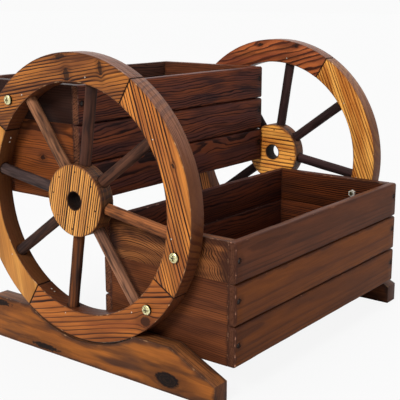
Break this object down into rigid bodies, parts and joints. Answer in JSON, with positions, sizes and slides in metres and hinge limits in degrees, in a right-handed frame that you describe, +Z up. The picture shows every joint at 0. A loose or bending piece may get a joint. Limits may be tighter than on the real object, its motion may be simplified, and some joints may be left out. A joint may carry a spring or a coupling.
{
  "type": "flower cart stand",
  "caption": "Wooden plant stand shaped like a cart: two open planter boxes at different heights between spoked wheels on foot beams.",
  "frame": {"origin": "on the ground below the middle of the stand", "axes": "+X along the wheels' axle line from the near wheel to the far wheel, +Y from the low box in front to the high box behind, +Z up"},
  "size_m": [0.529, 0.5034, 0.4368],
  "materials": {
    "rim_wood": "scorched and oiled softwood, satin",
    "hub_wood": "scorched and oiled softwood, satin",
    "spoke_wood": "dark stained dowel, satin",
    "plank_wood": "dark stained softwood, satin",
    "end_wood": "dark stained softwood, satin",
    "floor_wood": "dark stained softwood, matt",
    "foot_wood": "scorched and oiled softwood, satin",
    "zinc_steel": "yellowish zinc plating",
    "nail_steel": "dark, rusted",
    "brad_steel": "dark, rusted"
  },
  "bodies": {
    "root": {"wheel_near_felloe_1": "rim_wood", "wheel_near_felloe_2": "rim_wood", "wheel_near_felloe_3": "rim_wood", "wheel_near_felloe_4": "rim_wood", "wheel_near_spoke_1": "spoke_wood", "wheel_near_spoke_2": "spoke_wood", "wheel_near_spoke_3": "spoke_wood", "wheel_near_spoke_4": "spoke_wood", "wheel_near_spoke_5": "spoke_wood", "wheel_near_spoke_6": "spoke_wood", "wheel_near_spoke_7": "spoke_wood", "wheel_near_spoke_8": "spoke_wood", "wheel_near_hub": "hub_wood", "wheel_near_brads": "brad_steel", "foot_near": "foot_wood", "wheel_far_felloe_1": "rim_wood", "wheel_far_felloe_2": "rim_wood", "wheel_far_felloe_3": "rim_wood", "wheel_far_felloe_4": "rim_wood", "wheel_far_spoke_1": "spoke_wood", "wheel_far_spoke_2": "spoke_wood", "wheel_far_spoke_3": "spoke_wood", "wheel_far_spoke_4": "spoke_wood", "wheel_far_spoke_5": "spoke_wood", "wheel_far_spoke_6": "spoke_wood", "wheel_far_spoke_7": "spoke_wood", "wheel_far_spoke_8": "spoke_wood", "wheel_far_hub": "hub_wood", "wheel_far_brads": "brad_steel", "foot_far": "foot_wood", "box_low_front_1": "plank_wood", "box_low_front_2": "plank_wood", "box_low_front_3": "plank_wood", "box_low_back_1": "plank_wood", "box_low_back_2": "plank_wood", "box_low_back_3": "plank_wood", "box_low_end_near_upper": "end_wood", "box_low_end_near_lower": "end_wood", "box_low_end_far_upper": "end_wood", "box_low_end_far_lower": "end_wood", "box_low_floor_1": "floor_wood", "box_low_floor_2": "floor_wood", "box_low_nails": "nail_steel", "box_high_front_1": "plank_wood", "box_high_front_2": "plank_wood", "box_high_front_3": "plank_wood", "box_high_back_1": "plank_wood", "box_high_back_2": "plank_wood", "box_high_back_3": "plank_wood", "box_high_end_near_upper": "end_wood", "box_high_end_near_lower": "end_wood", "box_high_end_far_upper": "end_wood", "box_high_end_far_lower": "end_wood", "box_high_floor_1": "floor_wood", "box_high_floor_2": "floor_wood", "box_high_nails": "nail_steel", "bolts": "zinc_steel", "nuts": "zinc_steel", "spacers": "zinc_steel", "foot_screws": "zinc_steel"}
  },
  "joints": []
}
